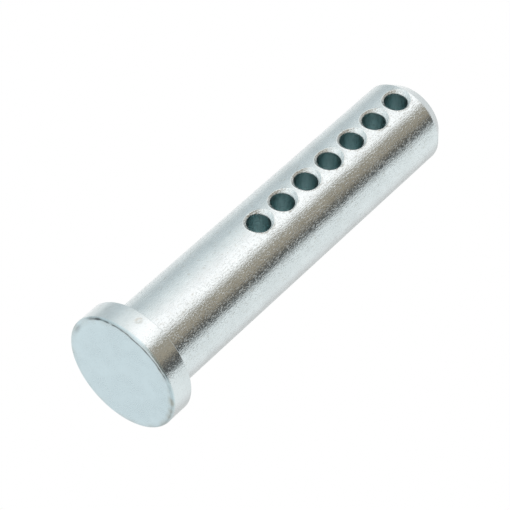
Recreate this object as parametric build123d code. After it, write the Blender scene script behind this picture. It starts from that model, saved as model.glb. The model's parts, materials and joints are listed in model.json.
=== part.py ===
from build123d import *
import os
from math import radians, tan

# Universal clevis pin: one turned and headed bar with a row of cross holes for a hairpin.
# Millimetres. The pin stands on its head: +Z runs up the shank towards the tip, and the
# origin is the centre of the head's outer face. The cross holes run along Y.

# Shank
shank_d = 19.05             # bar stock, 3/4 in
grip_length = 88.6          # from under the head to the tip, 3 1/2 in nominal
tip_chamfer_length = 2.9    # along the pin
tip_chamfer_depth = 1.9     # off the radius
tip_edge_round = 0.4        # where the chamfer meets the end face

# Head
head_shoulder = 3.4         # how far the head stands out past the shank, all round
head_height = 5.5
head_rim_round = 0.6        # edge of the outer face
head_seat_round = 0.35      # edge of the side that seats on the clevis
neck_fillet = 0.5           # inside corner between head and shank
seam_azimuth = 37.5         # where the turned surfaces start and end, clear of the holes

# Cross holes
hole_count = 7
hole_d = 5.0
hole_pitch = 7.68
last_hole_to_tip = 6.4      # from the last hole's centre to the end face
countersink_width = 0.9     # from the bore's edge out to the rim, measured along the pin
countersink_angle = 100.0   # included angle
drill_overrun = 1.0         # how far the cutter runs out past the shank

# Sizes that follow from those above
shank_r = shank_d / 2
head_r = shank_r + head_shoulder
pin_length = head_height + grip_length
tip_r = shank_r - tip_chamfer_depth
chamfer_start = pin_length - tip_chamfer_length
hole_r = hole_d / 2
last_hole_height = pin_length - last_hole_to_tip
countersink_slope = tan(radians(countersink_angle / 2))
countersink_floor = shank_r - countersink_width / countersink_slope


def rounded(section, corner, radius):
    """Round the one corner of a flat section that lies at (radius, height)."""
    return fillet(section.vertices().sort_by_distance(corner)[0], radius)


def pin_section():
    """Half of the pin's long section: x is the distance from the axis, y the height."""
    outline = Polyline(
        (0, 0),
        (head_r, 0),
        (head_r, head_height),
        (shank_r, head_height),
        (shank_r, chamfer_start),
        (tip_r, pin_length),
        (0, pin_length),
        close=True,
    )
    section = make_face(outline)
    section = rounded(section, (head_r, 0), head_rim_round)
    section = rounded(section, (head_r, head_height), head_seat_round)
    section = rounded(section, (shank_r, head_height), neck_fillet)
    return rounded(section, (tip_r, pin_length), tip_edge_round)


def blank():
    """The headed and chamfered pin before it is drilled."""
    return revolve(Plane.XZ * pin_section(), Axis.Z).rotate(Axis.Z, seam_azimuth)


def cross_hole_cutter():
    """A through bore with a countersink at each mouth, along Y and centred on the axis."""
    reach = shank_r + drill_overrun
    mouth_r = hole_r + (reach - countersink_floor) * countersink_slope
    outline = Polyline(
        (0, -reach),
        (mouth_r, -reach),
        (hole_r, -countersink_floor),
        (hole_r, countersink_floor),
        (mouth_r, reach),
        (0, reach),
        close=True,
    )
    return revolve(make_face(outline), Axis.Y)


def clevis_pin():
    """The finished pin, with the row of holes counted back from the tip."""
    cutter = cross_hole_cutter()
    heights = [last_hole_height - hole_pitch * step for step in range(hole_count)]
    return blank() - [Pos(0, 0, height) * cutter for height in heights]


pin = clevis_pin()
pin.label = "clevis_pin"

os.makedirs("parts", exist_ok=True)
export_step(pin, "parts/clevis_pin.step")
print(f"clevis_pin: {len(pin.solids())} solid, {pin.volume / 1000:.2f} cm3, {pin_length:.1f} mm long")
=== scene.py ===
# %% [markdown]
# # A clevis pin with a row of cross holes
# The real pin is one piece of steel bar. One end is forged into a head, the other is chamfered,
# seven holes are drilled across it for a hairpin, and the whole pin is zinc plated. The CAD
# model already has its true size and shape, so this lesson loads that model, builds a finer skin
# over it with the wear and burrs that a plated part has, and gives every surface its own finish.

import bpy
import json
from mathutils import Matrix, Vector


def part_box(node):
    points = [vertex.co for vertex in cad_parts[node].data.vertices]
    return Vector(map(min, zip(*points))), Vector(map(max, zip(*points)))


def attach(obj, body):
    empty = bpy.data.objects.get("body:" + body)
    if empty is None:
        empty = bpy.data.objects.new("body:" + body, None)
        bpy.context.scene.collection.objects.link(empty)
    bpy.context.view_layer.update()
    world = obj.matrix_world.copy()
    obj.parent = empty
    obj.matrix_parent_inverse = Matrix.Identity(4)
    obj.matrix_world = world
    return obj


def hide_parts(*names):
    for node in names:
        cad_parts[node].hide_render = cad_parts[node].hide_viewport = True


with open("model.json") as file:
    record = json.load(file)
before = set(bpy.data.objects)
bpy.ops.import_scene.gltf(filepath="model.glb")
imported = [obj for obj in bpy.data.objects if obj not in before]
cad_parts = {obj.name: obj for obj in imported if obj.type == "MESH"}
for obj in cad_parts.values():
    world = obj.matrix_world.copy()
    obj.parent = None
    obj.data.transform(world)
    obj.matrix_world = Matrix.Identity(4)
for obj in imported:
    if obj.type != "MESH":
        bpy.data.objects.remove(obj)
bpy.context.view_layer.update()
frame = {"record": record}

import json
from math import asin, atan2, cos, degrees, exp, hypot, pi, radians, sin, sqrt, tan

import bpy
from mathutils import Matrix, Vector, noise

# %% [markdown]
# ## Sizes
# Sizes that the CAD model states are read from it, so that the skin fits. The record's
# mounts give the shank, the head's seat and the seven bores. What they don't give, such as the
# chamfer's depth and the small rounds on the edges, is named here once. The round at the seat is
# a little sharper than the CAD model's. Blender works in metres, so a size in millimetres is
# multiplied by MM.

# %% Read the pin's sizes
MM = 0.001
mounts = {mount["name"]: mount for mount in frame["record"]["mounts"]}
shank_mount = mounts["shank"]
box_low, box_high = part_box("clevis_pin")

shank_r = shank_mount["dims"]["r_mm"] * MM
head_r = box_high.x
pin_length = box_high.z
head_height = mounts["head_seat"]["pos_m"][2]
chamfer_start = shank_mount["pos_m"][2] + shank_mount["dims"]["length_mm"] * MM / 2
bores = [mount for mount in mounts.values() if mount["kind"] == "bore"]
hole_heights = sorted(mount["pos_m"][2] for mount in bores)
hole_pitch = hole_heights[1] - hole_heights[0]
bore_r = bores[0]["dims"]["r_mm"] * MM
countersink_floor = bores[0]["dims"]["length_mm"] * MM / 2

face_round = 0.6 * MM
seat_round = 0.2 * MM
neck_fillet = 0.5 * MM
tip_chamfer_depth = 1.9 * MM
tip_r = shank_r - tip_chamfer_depth
tip_round = 0.4 * MM
COUNTERSINK_HALF_ANGLE = radians(50)
countersink_slope = tan(COUNTERSINK_HALF_ANGLE)
print(f"{len(bores)} holes of {2000 * bore_r:.1f} mm in a pin {1000 * pin_length:.1f} mm long")

# %% [markdown]
# ## A net of columns and rows
# A turned part is easy to make by spinning its outline, but holes cut into a spun mesh with a
# boolean leave long thin triangles that catch the light. So the skin is one net of four-sided
# faces. Columns run up the pin at equal angles, rows go round it, and a window of the net is
# left out round each hole, to be filled with rings that turn gradually from the window's
# outline into the rim of the hole. An azimuth is measured from -Y towards +X, as the near
# mouths of the holes face -Y.

# %% Points on the net
COLUMNS = 192
WINDOW_COLUMNS = 14         # a hole's window, to each side of its centre
WINDOW_ROWS = 10            # and above and below it


def around(radius, azimuth, height):
    """A point from its distance to the axis, its azimuth in radians and its height."""
    return Vector((radius * sin(azimuth), -radius * cos(azimuth), height))


def column_azimuth(column):
    return 2 * pi * column / COLUMNS


def steps(start, stop, count):
    """Values from just after start up to stop, at equal distances."""
    return [start + (stop - start) * (k + 1) / count for k in range(count)]


def smooth(value, start, stop):
    """0 before start, 1 after stop, and a soft S between them."""
    t = min(max((value - start) / (stop - start), 0), 1)
    return t * t * (3 - 2 * t)


def bump_at(value, centre, width):
    """A soft hump of height 1."""
    return exp(-((value - centre) / width) ** 2)


print(f"a column is {1000 * shank_r * column_azimuth(1):.2f} mm wide on the shank")

# %% [markdown]
# ## The head's outer face and its rolled edge
# Cold heading squeezes the face flat and rolls its edge over, and the rolled metal leaves an
# uneven seam beside the edge that the plating doesn't fill. The net follows that seam: a few
# narrow rows lie along it and sink into a shallow groove, deep on one side of the head and
# gone on the other. The edge is also flattened at one place. A bump map could fake both, but
# it can't change the outline of the head, so they are real shape.

# %% Rows of the head's face
SEAM_PATH = [               # azimuth in degrees, and the reach in millimetres
    (-44, 12.6), (-26, 12.76), (-8, 12.52), (3, 12.4), (13, 12.14),
    (30, 12.26), (46, 12.38), (58, 12.62), (74, 12.78), (110, 12.86),
]
SEAM_OFFSETS = [-0.5, -0.3, -0.17, -0.08, 0, 0.08, 0.17, 0.3]
SEAM_DEPTH = 0.11 * MM
SEAM_HALF_WIDTH = 0.1 * MM
NICK_AZIMUTH = -14          # degrees; the seam is closed here
NICK_WIDTH = 1.6
FLAT_AZIMUTH = radians(-57)
FLAT_START = 10.7 * MM      # how far from the axis the flattened place begins
FLAT_SLOPE = 0.11
face_edge = head_r - face_round
edge_end = face_edge + face_round * pi / 2


def signed_degrees(azimuth):
    """The azimuth in degrees, from -180 to 180."""
    angle = degrees(azimuth)
    return angle - 360 if angle > 180 else angle


def seam_reach(azimuth):
    """Where the seam lies: the way from the centre out over the face and round its edge."""
    angle = signed_degrees(azimuth)
    path = [(-180, SEAM_PATH[0][1])] + SEAM_PATH + [(180, SEAM_PATH[-1][1])]
    for (a0, r0), (a1, r1) in zip(path, path[1:]):
        if angle <= a1:
            share = smooth(angle, a0, a1)
            break
    wander = 0.05 * noise.noise(around(6, azimuth, 0)) + 0.03 * noise.noise(around(20, azimuth, 3))
    return (r0 + (r1 - r0) * share + wander) * MM


def seam_opening(azimuth):
    """How far the seam is open: only between two azimuths, unevenly, and closed at one nick."""
    angle = signed_degrees(azimuth)
    opening = smooth(angle, -46, -31) * (1 - smooth(angle, 74, 108))
    opening = opening * (1 - 0.75 * smooth(angle, 55, 62))
    nick = 1 - 0.9 * bump_at(angle, NICK_AZIMUTH, NICK_WIDTH)
    return opening * nick * (0.85 + 0.5 * noise.noise(around(9, azimuth, 7)))


def face_point(reach, azimuth):
    """A point of the face or its rounded edge, with the seam and the flattened place."""
    turn = max(0, reach - face_edge) / face_round
    radius = min(reach, face_edge) + face_round * sin(turn)
    height = face_round * (1 - cos(turn))
    sink = SEAM_DEPTH * seam_opening(azimuth) * bump_at(reach, seam_reach(azimuth), SEAM_HALF_WIDTH)
    radius -= sink * sin(turn)
    height += sink * cos(turn)
    across = radius * cos(azimuth - FLAT_AZIMUTH) - FLAT_START
    height = max(height, FLAT_SLOPE * across * smooth(across, 0, 0.5 * MM))
    return around(radius, azimuth, height)


def face_row(reach_at):
    """One row of the net on the face; reach_at gives its reach at an azimuth."""
    return [face_point(reach_at(column_azimuth(c)), column_azimuth(c)) for c in range(COLUMNS)]


face_rows = []
for share in steps(0.06, 1, 14):
    face_rows.append(face_row(lambda azimuth: share * (seam_reach(azimuth) + SEAM_OFFSETS[0] * MM)))
for offset in SEAM_OFFSETS[1:]:
    face_rows.append(face_row(lambda azimuth: seam_reach(azimuth) + offset * MM))
for share in steps(0, 1, 5):
    face_rows.append(face_row(
        lambda azimuth: (1 - share) * (seam_reach(azimuth) + SEAM_OFFSETS[-1] * MM) + share * edge_end))
print(len(face_rows), "rows on the face")

# %% [markdown]
# ## The head's side, the seat and the neck
# These are plain turned surfaces: a cylinder, a small round, the flat ring that bears on the
# clevis and the fillet that carries the load into the shank. Five rows to each round keep
# its shading smooth. The side has one small ding.

# %% Rows of the head's side and neck
DING_AZIMUTH, DING_HEIGHT = radians(3.6), 3.75 * MM
DING_HALF_WIDTH, DING_HALF_HEIGHT, DING_DEPTH = 0.5 * MM, 0.8 * MM, 0.07 * MM
SEAT_OUTER_R = head_r - seat_round
NECK_R = shank_r + neck_fillet


def ding_reach(azimuth, height):
    """Distance from the ding's middle, 1 at its edge."""
    across = head_r * (azimuth - DING_AZIMUTH) / DING_HALF_WIDTH
    return hypot(across, (height - DING_HEIGHT) / DING_HALF_HEIGHT)


def ding(azimuth, height):
    """How deep the ding is at a point of the head's side."""
    return DING_DEPTH * (1 - smooth(ding_reach(azimuth, height), 0.4, 1.2))


def turned_row(radius, height):
    """One row of the net where the pin is perfectly round."""
    return [around(radius, column_azimuth(c), height) for c in range(COLUMNS)]


def side_row(height):
    """One row of the head's side, with the ding."""
    return [around(head_r - ding(column_azimuth(c), height), column_azimuth(c), height)
            for c in range(COLUMNS)]


side_rows = [side_row(h) for h in steps(face_round, head_height - seat_round, 16)]
for turn in steps(0, pi / 2, 5):
    side_rows.append(turned_row(SEAT_OUTER_R + seat_round * cos(turn),
                                head_height - seat_round + seat_round * sin(turn)))
seat_rows = [turned_row(r, head_height) for r in steps(SEAT_OUTER_R, NECK_R, 5)]
for turn in steps(0, pi / 2, 5):
    seat_rows.append(turned_row(NECK_R - neck_fillet * sin(turn),
                                head_height + neck_fillet * (1 - cos(turn))))
print(len(side_rows), "rows on the side,", len(seat_rows), "on the seat and neck")

# %% [markdown]
# ## The shank and the tip
# Below the holes the shank is bare bar, so its rows can be far apart. Between the lowest and
# the highest hole the rows are exactly a twentieth of the hole pitch apart, so that each
# window begins and ends on a row. The top window stops at the chamfer, which comes very close
# to the last hole, so its upper rows are squeezed a little.

# %% Rows of the shank and the tip
row_gap = hole_pitch / (2 * WINDOW_ROWS)
first_window = hole_heights[0] - WINDOW_ROWS * row_gap
shank_foot = head_height + neck_fillet
plain_heights = steps(shank_foot, first_window, 30)
hole_rows = [first_window + row_gap * (k + 1) for k in range(2 * WINDOW_ROWS * len(hole_heights))]
squeeze = (chamfer_start - hole_heights[-1]) / (WINDOW_ROWS * row_gap)
hole_rows = [min(h, hole_heights[-1]) + squeeze * max(0, h - hole_heights[-1]) for h in hole_rows]
shank_rows = [turned_row(shank_r, h) for h in plain_heights + hole_rows]

chamfer_slope = (shank_r - tip_r) / (pin_length - chamfer_start)
CREST = 0.06 * MM           # the first row above the start of the chamfer
CHAMFER_END = 0.36 * MM     # the last plain row of the chamfer, below the end face
END_FACE_CENTRE = 0.6 * MM  # the smallest row of the end face
tangent = tip_round * tan((pi / 2 - atan2(chamfer_slope, 1)) / 2)
round_centre = (tip_r - tangent, pin_length - tip_round)
tip_rows = [turned_row(shank_r - chamfer_slope * (h - chamfer_start), h)
            for h in [chamfer_start + CREST]
            + steps(chamfer_start + CREST, pin_length - CHAMFER_END, 6)]
for turn in steps(atan2(chamfer_slope, 1), pi / 2, 5):
    tip_rows.append(turned_row(round_centre[0] + tip_round * cos(turn),
                               round_centre[1] + tip_round * sin(turn)))
tip_rows += [turned_row(r, pin_length) for r in steps(round_centre[0], END_FACE_CENTRE, 6)]
print(f"chamfer rows start at {1000 * chamfer_start:.1f} mm")

# %% [markdown]
# ## Join the rows into a skin
# Each row is one ring of vertices. Two rows next to each other make a belt of four-sided
# faces, and a fan closes the middle of the face and of the tip. Every face remembers which
# finish it takes. Faces inside a hole's window are left out here.

# %% Join the rows
FINISHES = ["face", "side", "shank", "cone", "bore"]
rows = face_rows + side_rows + seat_rows + shank_rows + tip_rows
row_finish = (["face"] * len(face_rows) + ["side"] * len(side_rows)
              + ["side"] * len(seat_rows) + ["shank"] * len(shank_rows) + ["side"] * len(tip_rows))
first_shank_row = len(face_rows) + len(side_rows) + len(seat_rows)
first_hole_row = first_shank_row + len(plain_heights) - 1

points = [point for row in rows for point in row]
faces, face_finish = [], []


def vertex(row, column):
    return row * COLUMNS + column % COLUMNS


def in_window(row, column):
    """Whether the face above this row and right of this column belongs to a hole."""
    if not first_hole_row <= row < first_hole_row + len(hole_rows):
        return False
    offset = (column + 0.5) % (COLUMNS / 2)
    return min(offset, COLUMNS / 2 - offset) < WINDOW_COLUMNS


def add_face(corners, finish):
    faces.append(corners)
    face_finish.append(FINISHES.index(finish))


for row in range(len(rows) - 1):
    for column in range(COLUMNS):
        if not in_window(row, column):
            add_face([vertex(row, column), vertex(row, column + 1),
                      vertex(row + 1, column + 1), vertex(row + 1, column)], row_finish[row + 1])

for row, centre in ((0, Vector((0, 0, 0))), (len(rows) - 1, Vector((0, 0, pin_length)))):
    points.append(centre)
    for column in range(COLUMNS):
        pair = [vertex(row, column), vertex(row, column + 1)]
        if row == 0:
            pair.reverse()
        add_face(pair + [len(points) - 1], row_finish[row])
print(len(points), "points and", len(faces), "faces before the holes")

# %% [markdown]
# ## The cross holes
# A drill pushes a thin burr up round the mouth, and the countersink then cuts a cone into it.
# On a round bar the rim of that cone is longer along the bar than across it, and not a circle:
# each point of the rim is found by stepping between the cone and the cylinder until they
# agree. From the window's outline, rings lead to the foot of the burr, over its crest, down
# the cone, through the bore and out of the far side, all with the same number of points, so
# they join without a seam.

# %% Build the cross holes
BURR_WIDTH = 0.24 * MM
BURR_HEIGHT = 0.05 * MM
BURR_PROFILE = [(0.62, 0.45), (0.3, 1), (0.08, 0.9)]    # share of its width, share of its height
RIM_LIFT = 0.35             # how much of the burr's height is left at the rim
MOUTH_SHARES = [0.8, 0.6, 0.4, 0.2, 0]
CONE_SHARES = [0.1, 0.32, 0.56, 0.8, 0.96]
BORE_RINGS = 16
BORE_LIP = 0.1 * MM


def rim_reach(angle):
    """Distance from the hole's axis to the countersink's rim, in one direction."""
    reach = bore_r
    for _ in range(40):
        depth = sqrt(shank_r ** 2 - (reach * cos(angle)) ** 2)
        reach = bore_r + (depth - countersink_floor) * countersink_slope
    return reach


def window_outline(hole):
    """Rows and columns round a window, anticlockwise as seen from -Y."""
    low = first_hole_row + 2 * WINDOW_ROWS * hole
    high = low + 2 * WINDOW_ROWS
    left, right = -WINDOW_COLUMNS, WINDOW_COLUMNS
    outline = [(low, c) for c in range(left, right)] + [(r, right) for r in range(low, high)]
    outline += [(high, c) for c in range(right, left, -1)]
    return outline + [(r, left) for r in range(high, low, -1)]


def mouth_ring(outline, rim, share, lift):
    """A ring on the shank's surface, between the window's outline and the rim."""
    ring = []
    for (u0, z0), (u1, z1), part, raised in zip(outline, rim, share, lift):
        u, z = u1 + (u0 - u1) * part, z1 + (z0 - z1) * part
        ring.append(around(shank_r + raised, u / shank_r, z))
    return ring


def mouth_rings(outline, height, angles, side):
    """All rings of one mouth, from the window down to the bore's edge. Side is -1 or 1."""
    rim = []
    for angle in angles:
        reach = rim_reach(angle)
        rim.append((shank_r * asin(reach * cos(angle) / shank_r), height + reach * sin(angle)))
    room = [hypot(u0 - u1, z0 - z1) for (u0, z0), (u1, z1) in zip(outline, rim)]
    seed = height * 1000 + 40 * side
    burr = [BURR_HEIGHT * (0.8 + 0.9 * noise.noise(Vector((3 * cos(a), 3 * sin(a), seed)))
                           + 0.4 * noise.noise(Vector((9 * cos(a), 9 * sin(a), seed))))
            for a in angles]
    foot = [min(BURR_WIDTH / gap, 0.6) for gap in room]
    rings = []
    for share in MOUTH_SHARES:
        rings.append(mouth_ring(outline, rim, [f + (1 - f) * share for f in foot], [0] * len(rim)))
    for share, lift in BURR_PROFILE:
        rings.append(mouth_ring(outline, rim, [f * share for f in foot], [lift * b for b in burr]))
    top = mouth_ring(outline, rim, [0] * len(rim), [RIM_LIFT * b for b in burr])
    edge = [Vector((bore_r * cos(a), -countersink_floor, height + bore_r * sin(a))) for a in angles]
    rings += [[t.lerp(e, share) for t, e in zip(top, edge)] for share in [0] + CONE_SHARES]
    if side > 0:
        rings = [[Vector((p.x, -p.y, p.z)) for p in ring] for ring in rings]
    return rings


def add_ring(ring):
    """Add a ring of points and return their numbers."""
    start = len(points)
    points.extend(ring)
    return list(range(start, len(points)))


def join_rings(first, second, finish):
    """A belt of faces between two rings of the same length."""
    count = len(first)
    for k in range(count):
        m = (k + 1) % count
        add_face([first[k], first[m], second[m], second[k]], finish)


cone_rings = len(BURR_PROFILE) + 1 + len(CONE_SHARES)
mouth_finish = ["shank"] * len(MOUTH_SHARES) + ["cone"] * cone_rings
for hole, height in enumerate(hole_heights):
    outline = window_outline(hole)
    flat = [(shank_r * column_azimuth(c), points[vertex(r, c)].z) for r, c in outline]
    angles = [atan2(z - height, shank_r * sin(u / shank_r)) for u, z in flat]
    near = [add_ring(ring) for ring in mouth_rings(flat, height, angles, -1)]
    far = [add_ring(ring) for ring in mouth_rings(flat, height, angles, 1)]
    previous = [vertex(r, c) for r, c in outline]
    for ring, finish in zip(near, mouth_finish):
        join_rings(previous, ring, finish)
        previous = ring
    reach = countersink_floor - BORE_LIP
    for k in range(BORE_RINGS + 1):
        y = -reach + 2 * reach * k / BORE_RINGS
        ring = add_ring([Vector((bore_r * cos(a), y, height + bore_r * sin(a))) for a in angles])
        join_rings(previous, ring, "cone" if k == 0 else "bore")
        previous = ring
    for ring, finish in zip(reversed(far), reversed(mouth_finish)):
        join_rings(previous, ring, finish)
        previous = ring
    join_rings(previous, [vertex(r, COLUMNS // 2 - c) for r, c in outline], "shank")
print(len(points), "points and", len(faces), "faces with the holes")

# %% [markdown]
# ## The finished skin
# The points inside the windows are on no face, so they are dropped. The skin then rides on
# the pin's one body and stands for its one CAD node.

# %% Make the skin
used = sorted({corner for face in faces for corner in face})
renumber = {old: new for new, old in enumerate(used)}
mesh = bpy.data.meshes.new("clevis_pin_skin")
mesh.from_pydata([points[old] for old in used], [], [[renumber[c] for c in face] for face in faces])
mesh.polygons.foreach_set("material_index", face_finish)
mesh.polygons.foreach_set("use_smooth", [True] * len(faces))
mesh.update()
skin = bpy.data.objects.new("clevis_pin_skin", mesh)
bpy.context.scene.collection.objects.link(skin)
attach(skin, "root")
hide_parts("clevis_pin")


def paint(name, amount):
    """Keep a number on every vertex of the head's outer part and its side."""
    layer = mesh.attributes.new(name, "FLOAT", "POINT")
    for index, point in enumerate(mesh.vertices):
        x, y, z = point.co
        radius = hypot(x, y)
        if z < head_height - seat_round and radius > 0.8 * head_r:
            turn = atan2(max(0, radius - face_edge), max(face_round - z, 0))
            reach = min(radius, face_edge) + face_round * turn + max(z - face_round, 0)
            layer.data[index].value = amount(atan2(x, -y), reach)


def seam_dirt(azimuth, reach):
    """Painted shade in the seam's groove, with three dark smudges near the flattened place."""
    uneven = 0.85 + 0.4 * noise.noise(around(14, azimuth, 21))
    wide = 0.13 * MM * (1.1 + 0.7 * noise.noise(around(11, azimuth, 33)))
    # The dark line is painted shade, strongest where the groove is open.
    line = 1.2 * seam_opening(azimuth) * uneven * bump_at(reach, seam_reach(azimuth), wide)
    angle = degrees(azimuth)
    smudge = 0.45 * bump_at(angle, -67, 8) * bump_at(reach, 12.05 * MM, 0.28 * MM)
    corner = 0.5 * bump_at(angle, -70, 6) * bump_at(reach, 12.9 * MM, 0.14 * MM)
    faint = 0.4 * bump_at(angle, -40, 6) * bump_at(reach, 12.75 * MM, 0.35 * MM)
    return min(line + smudge + corner + faint, 0.95)


def edge_tan(azimuth, reach):
    """Warm stain where the rolled edge is thin, strongest past the end of the seam, and a tan ring
    round the ding that is a painted reflection.
    """
    where = 0.35 + 0.65 * bump_at(degrees(azimuth), 84, 30)
    uneven = 0.6 + 1.2 * noise.noise(around(7, azimuth, reach / MM))
    edge = max(0, where * uneven * bump_at(reach, 12.5 * MM, 0.5 * MM))
    # The tan ring round the ding is a painted reflection of its sloping walls.
    painted_ding_reflection = bump_at(ding_reach(azimuth, reach - edge_end + face_round), 0.8, 0.28)
    return min(edge + 0.8 * painted_ding_reflection, 1)


# The first number paints shade into the seam's groove and dark smudges near the flattened place.
paint("seam_dirt", seam_dirt)
# The second number holds the edge's warm stain and a painted reflection round the ding.
paint("edge_tan", edge_tan)

edges_of = {}
for face in faces:
    for a, b in zip(face, face[1:] + face[:1]):
        edges_of[frozenset((a, b))] = edges_of.get(frozenset((a, b)), 0) + 1
print("edges that don't join two faces:", sum(1 for count in edges_of.values() if count != 2))
print("triangles:", sum(len(face) - 2 for face in faces))

# %% [markdown]
# ## Shader sums
# A shader is a web of small nodes. Long sums are hard to read as node code, so one small class
# wraps an output socket: arithmetic on it adds Math nodes, and its node method adds any other
# kind of node.


# %% A value in a shader
class Value:
    """An output socket. Sums on values add Math nodes to the same tree."""

    def __init__(self, tree, socket=None):
        self.tree, self.socket = tree, socket

    def node(self, kind, settings=None, inputs=None, output=0):
        """Add a node: its settings first, then the numbers or values of its sockets."""
        made = self.tree.nodes.new(kind)
        for name, setting in (settings or {}).items():
            if name == "stops":
                set_stops(made.color_ramp, setting)
            else:
                setattr(made, name, setting)
        for name, given in (inputs or {}).items():
            if isinstance(given, Value):
                self.tree.links.new(given.socket, made.inputs[name])
            else:
                made.inputs[name].default_value = given
        return Value(self.tree, made.outputs[output])

    def math(self, operation, *terms):
        return self.node("ShaderNodeMath", {"operation": operation}, dict(enumerate(terms)))

    def __add__(self, other):
        return self.math("ADD", self, other)

    def __sub__(self, other):
        return self.math("SUBTRACT", self, other)

    def __rsub__(self, other):
        return self.math("SUBTRACT", other, self)

    def __mul__(self, other):
        return self.math("MULTIPLY", self, other)

    def __truediv__(self, other):
        return self.math("DIVIDE", self, other)

    __radd__, __rmul__ = __add__, __mul__

    def between(self, low, high):
        """0 below low, 1 above high, and a soft S between them."""
        return self.node("ShaderNodeMapRange", {"interpolation_type": "SMOOTHSTEP"},
                         {"Value": self, "From Min": low, "From Max": high})

    def mix(self, first, second):
        """The first colour where this value is 0, the second where it is 1."""
        return self.node("ShaderNodeMix", {"data_type": "RGBA"}, {0: self, 6: first, 7: second}, 2)


def show(value, kind):
    """End the tree: this value becomes the surface of its material or world."""
    output = value.tree.nodes.new(kind)
    value.tree.links.new(value.socket, output.inputs["Surface"])


def set_stops(ramp, stops):
    """Fill a colour ramp with (position, colour) stops."""
    while len(ramp.elements) < len(stops):
        ramp.elements.new(1)
    for element, (position, colour) in zip(ramp.elements, stops):
        element.position, element.color = position, (*colour, 1)


print("shader sums are ready")

# %% [markdown]
# ## The zinc plate
# Clear zinc plating is a bright metal with a cool tint. It follows the steel below, so each
# surface keeps the marks of how it was made: lines drawn along the bar, rings turned on the
# head, and the smooth squeezed face. On top comes a fine orange peel from the bath and small
# tan stains where rinse water dried. One recipe takes those as its arguments. Noise that is
# stretched along one axis gives lines, the same noise unstretched gives the peel, and only
# the highest peaks of another noise leave stains.

# %% The recipe of the plate
ZINC = (0.80, 0.83, 0.84, 1)
# This tan colours the rinse stains and the edge's stain, and paints a reflection round the ding.
TAN_STAIN_AND_REFLECTION = (0.42, 0.36, 0.27, 1)
# The dark of the random specks, also used to paint shade into the seam's groove.
SPECK_AND_SEAM_SHADE_DARK = (0.10, 0.10, 0.10, 1)
FACE_ZINC = (0.70, 0.79, 0.82, 1)
CUT_ZINC = (0.92, 0.94, 0.94, 1)
BORE_ZINC = (0.53, 0.68, 0.69, 1)
BUMP_DEPTH = 0.1 * MM


def texture_noise(place, scale, stretch=(1, 1, 1), detail=2, roughness=0.5):
    """Noise with so many features to a millimetre; stretch below 1 draws them out."""
    sized = place.node("ShaderNodeVectorMath", {"operation": "MULTIPLY"},
                       {0: place, 1: [scale * s / MM for s in stretch]})
    return place.node("ShaderNodeTexNoise", {}, {"Vector": sized, "Scale": 1, "Detail": detail,
                                                 "Roughness": roughness})


def zinc_plate(name, tint, gloss, line_stretch, lines, peel, specks, painted=False):
    """A plated finish. Gloss is the roughness of its smoothest and its dullest places."""
    material = bpy.data.materials.new(name)
    material.use_nodes = True
    tree = material.node_tree
    tree.nodes.clear()
    start = Value(tree)
    place = start.node("ShaderNodeTexCoord", {}, {}, "Object")
    line = texture_noise(place, 5.0, line_stretch, 3)
    grain = texture_noise(place, 2.6, (1, 1, 0.8), 3, 0.7)
    wave = texture_noise(place, 0.6, (1, 1, 0.6), 1)
    cloud = texture_noise(place, 0.22, (1, 1, 1), 4, 0.6)
    pit = texture_noise(place, 3.1, (1, 1, 0.7), 2, 0.6).between(0.52, 0.66)
    streak = texture_noise(place, 3.4, line_stretch, 3, 0.6).between(0.56, 0.7)
    brown = texture_noise(place, 2.0, (1, 1, 0.5), 4, 0.7).between(0.55, 0.7) * specks
    dark = texture_noise(place, 3.6, (1, 1, 0.5), 3, 0.6).between(0.62, 0.74) * specks
    shade = cloud.between(0.3, 0.7).mix([0.92 * c for c in tint[:3]] + [1], tint)
    colour = (dark * 0.35).mix((brown * 0.35).mix(shade, TAN_STAIN_AND_REFLECTION), SPECK_AND_SEAM_SHADE_DARK)
    if painted:
        # This number holds the edge's warm stain and a painted reflection round the ding.
        warm_stain_and_painted_ding_rim = start.node("ShaderNodeAttribute", {"attribute_name": "edge_tan"}, {}, "Fac")
        # This number paints shade into the seam's groove and dark smudges near the flattened place.
        seam_shade_mask = start.node("ShaderNodeAttribute", {"attribute_name": "seam_dirt"}, {}, "Fac")
        colour = seam_shade_mask.mix((warm_stain_and_painted_ding_rim * 0.6).mix(colour, TAN_STAIN_AND_REFLECTION), SPECK_AND_SEAM_SHADE_DARK)
    dull = specks * (0.22 * pit + 0.12 * streak)
    rough = gloss[0] + (gloss[1] - gloss[0]) * (0.6 * cloud + 0.4 * line) + dull
    height = lines * line + peel * (grain + 0.8 * wave - 0.35 * pit)
    bump = start.node("ShaderNodeBump", {}, {"Height": height, "Strength": 1, "Distance": BUMP_DEPTH})
    shader = start.node("ShaderNodeBsdfPrincipled", {}, {
        "Base Color": colour, "Roughness": rough, "Normal": bump, "Metallic": 1})
    show(shader, "ShaderNodeOutputMaterial")
    return material


along, turned, drilled, even = (1, 1, 0.04), (0.05, 0.05, 1), (0.05, 0.7, 0.05), (1, 1, 1)
plates = {
    "face": zinc_plate("zinc_plate_face", FACE_ZINC, (0.2, 0.36), even, 0.05, 0.22, 0.25, True),
    "side": zinc_plate("zinc_plate_turned", ZINC, (0.08, 0.17), turned, 0.05, 0.25, 0.4, True),
    "shank": zinc_plate("zinc_plate_drawn", ZINC, (0.09, 0.19), along, 0.15, 0.36, 1.0),
    "cone": zinc_plate("zinc_plate_cut", CUT_ZINC, (0.20, 0.34), even, 0.2, 0.9, 0.3),
    "bore": zinc_plate("zinc_plate_bore", BORE_ZINC, (0.28, 0.4), drilled, 0.5, 0.4, 0.2),
}
for finish in FINISHES:
    skin.data.materials.append(plates[finish])
print(len(plates), "finishes on the skin")

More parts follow.
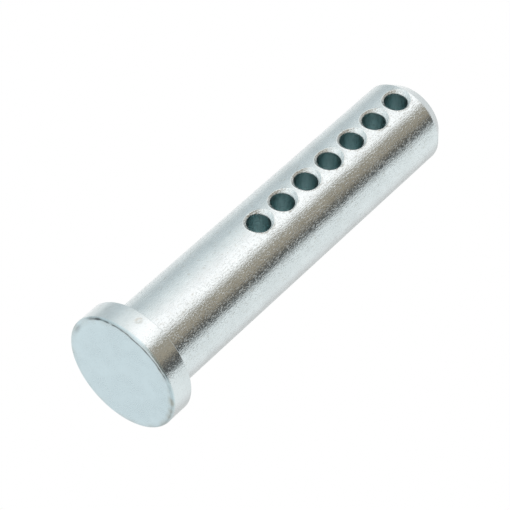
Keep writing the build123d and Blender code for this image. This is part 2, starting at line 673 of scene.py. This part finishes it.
# %% [markdown]
# ## The studio
# Polished metal has almost no colour of its own: it shows the room. In a studio it stands in
# a white tent with cards in it, white ones for highlights and dark ones for edges. Here the
# world is that tent. Its tone depends on the direction round the pin, so the bands run along
# the shank, and it is a little cooler below. Only reflections see the cards: eyes looking past
# the pin see plain white. A few tones are brighter than white, for the highlights.

# %% The tent round the pin
CARDS = [                   # azimuth of the direction in degrees, and the tone there
    (-180, (0.64, 0.65, 0.64)), (-168, (0.72, 0.74, 0.74)), (-156, (0.95, 0.97, 0.97)),
    (-144, (1.0, 1.02, 1.02)), (-130, (1.0, 1.02, 1.02)), (-122, (0.90, 0.93, 0.93)),
    (-99, (0.80, 0.86, 0.86)), (-94, (0.60, 0.66, 0.67)), (-75, (0.59, 0.66, 0.68)),
    (-63, (0.64, 0.72, 0.74)), (-51, (0.80, 0.87, 0.88)), (-36, (0.91, 0.97, 0.97)),
    (-16, (1.13, 1.14, 1.13)), (-5, (1.27, 1.27, 1.27)), (19, (1.27, 1.27, 1.25)),
    (24, (0.90, 0.94, 0.94)), (29, (0.36, 0.34, 0.285)), (58, (0.40, 0.355, 0.275)),
    (63, (0.10, 0.10, 0.095)), (84, (0.09, 0.10, 0.10)), (88, (0.87, 0.93, 0.93)),
    (146, (0.90, 0.95, 0.95)), (162, (0.76, 0.78, 0.78)), (180, (0.64, 0.65, 0.64)),
]
BELOW = (0.88, 0.93, 0.95, 1)
OVERHEAD = (0.75, 0.78, 0.78, 1)
UNDERFOOT = (0.92, 0.94, 0.94, 1)
WHITE = (1, 1, 1, 1)
SOFT_LIGHT = (0.62, 0.62, 0.62, 1)      # what dull surfaces get from the tent

world = bpy.data.worlds.new("white_tent")
bpy.context.scene.world = world
world.use_nodes = True
world.node_tree.nodes.clear()
start = Value(world.node_tree)
direction = start.node("ShaderNodeTexCoord", {}, {}, "Generated")
split = direction.node("ShaderNodeSeparateXYZ", {}, {0: direction})
east, south, up = [Value(world.node_tree, output) for output in split.socket.node.outputs]
turn = start.math("ARCTAN2", east, south * -1) / (2 * pi) + 0.5
stops = [(azimuth / 360 + 0.5, tone) for azimuth, tone in CARDS]
card = start.node("ShaderNodeValToRGB", {"stops": stops}, {"Fac": turn})
cooler = (up * -1).between(0.0, 0.5)
tinted = start.node("ShaderNodeMix", {"data_type": "RGBA", "blend_type": "MULTIPLY"},
                    {0: cooler, 6: card, 7: BELOW}, 2)
tent = (up * -1).between(0.8, 0.95).mix(up.between(0.8, 0.97).mix(tinted, OVERHEAD), UNDERFOOT)

ray = start.node("ShaderNodeLightPath")
rays = {output.name: Value(world.node_tree, output) for output in ray.socket.node.outputs}
seen = (rays["Is Camera Ray"] + rays["Is Transmission Ray"]).mix(SOFT_LIGHT, WHITE)
shown = rays["Is Glossy Ray"].mix(seen, tent)
background = start.node("ShaderNodeBackground", {}, {"Color": shown, "Strength": 1})
show(background, "ShaderNodeOutputWorld")
print(len(CARDS), "tones round the tent")

# %% [markdown]
# ## The floor
# The pin stands on its head, and one view looks up at the head from below, so the floor may
# not hide it. The floor is seen only by eyes above it: rays from below, and all reflections,
# pass through. Towards its edge it fades out, so there is no horizon.

# %% Lay the floor
FLOOR_R = 0.6
FLOOR_COLOUR = (0.9, 0.9, 0.9, 1)
FLOOR_SIDES = 64
FLOOR_DROP = 0.02 * MM      # keeps it clear of the head's face
FADE_START, FADE_END = 0.12, 0.5

floor_mesh = bpy.data.meshes.new("floor")
ring_out = [around(FLOOR_R, 2 * pi * k / FLOOR_SIDES, -FLOOR_DROP) for k in range(FLOOR_SIDES)]
floor_mesh.from_pydata(ring_out, [], [list(range(FLOOR_SIDES))])
floor = bpy.data.objects.new("floor", floor_mesh)
bpy.context.scene.collection.objects.link(floor)

paper = bpy.data.materials.new("floor_paper")
paper.use_nodes = True
paper.node_tree.nodes.clear()
start = Value(paper.node_tree)
place = start.node("ShaderNodeTexCoord", {}, {}, "Object")
distance = start.node("ShaderNodeVectorMath", {"operation": "LENGTH"}, {0: place}, "Value")
from_below = start.node("ShaderNodeNewGeometry", {}, {}, "Backfacing")
camera_ray = start.node("ShaderNodeLightPath", {}, {}, "Is Camera Ray")
visible = camera_ray * (1 - from_below) * (1 - distance.between(FADE_START, FADE_END))
matt = start.node("ShaderNodeBsdfDiffuse", {}, {"Color": FLOOR_COLOUR})
clear = start.node("ShaderNodeBsdfTransparent")
mixed = start.node("ShaderNodeMixShader", {}, {0: visible, 1: clear, 2: matt})
show(mixed, "ShaderNodeOutputMaterial")
floor.data.materials.append(paper)
print("the floor is", 2 * FLOOR_R, "m across")

# %% [markdown]
# ## The lamp
# One large lamp above gives the floor a soft shadow. It is hidden from reflections, so the
# metal shows only the tent.

# %% Hang the lamp
LAMP_SIZE, LAMP_POWER = 0.35, 3.2
LAMP_PLACE = Vector((-0.12, 0.10, 0.55))
LAMP_TARGET = Vector((0, 0, 0.03))
lamp_data = bpy.data.lights.new("top_lamp", "AREA")
lamp_data.shape, lamp_data.size, lamp_data.energy = "DISK", LAMP_SIZE, LAMP_POWER
lamp = bpy.data.objects.new("top_lamp", lamp_data)
lamp.location = LAMP_PLACE
lamp.rotation_euler = (LAMP_TARGET - LAMP_PLACE).to_track_quat("-Z", "Y").to_euler()
lamp.visible_glossy = False
bpy.context.scene.collection.objects.link(lamp)
print("lamp of", lamp_data.energy, "W")

# %% [markdown]
# ## The camera
# The pin lies across the picture with its head towards the eye. The camera looks at it with a
# long lens from beside and below the head, and rolls so that the shank runs up to the right.

# %% Set the camera
AIM = Vector((-1.158, 2.563, 43.022)) * MM
CAMERA_AZIMUTH, CAMERA_ELEVATION = radians(27.489), radians(-33.909)
CAMERA_ROLL = radians(-48.189)
CAMERA_DISTANCE = 497.922 * MM
SENSOR_WIDTH, LENS = 36, 174.683
camera_data = bpy.data.cameras.new("camera")
camera_data.sensor_width, camera_data.lens = SENSOR_WIDTH, LENS
camera_data.clip_start, camera_data.clip_end = 0.01, 10
back = around(cos(CAMERA_ELEVATION), CAMERA_AZIMUTH, sin(CAMERA_ELEVATION))
level_up = (Vector((0, 0, 1)) - back * back.z).normalized()
level_right = level_up.cross(back)
up_side = cos(CAMERA_ROLL) * level_up + sin(CAMERA_ROLL) * level_right
right_side = up_side.cross(back)
camera = bpy.data.objects.new("camera", camera_data)
camera.matrix_world = Matrix.Translation(AIM + back * CAMERA_DISTANCE) @ Matrix(
    (right_side, up_side, back)).transposed().to_4x4()
bpy.context.scene.collection.objects.link(camera)
bpy.context.scene.camera = camera
bpy.context.scene.view_settings.view_transform = "Standard"
print("camera at", [round(1000 * x, 1) for x in camera.matrix_world.translation], "mm")
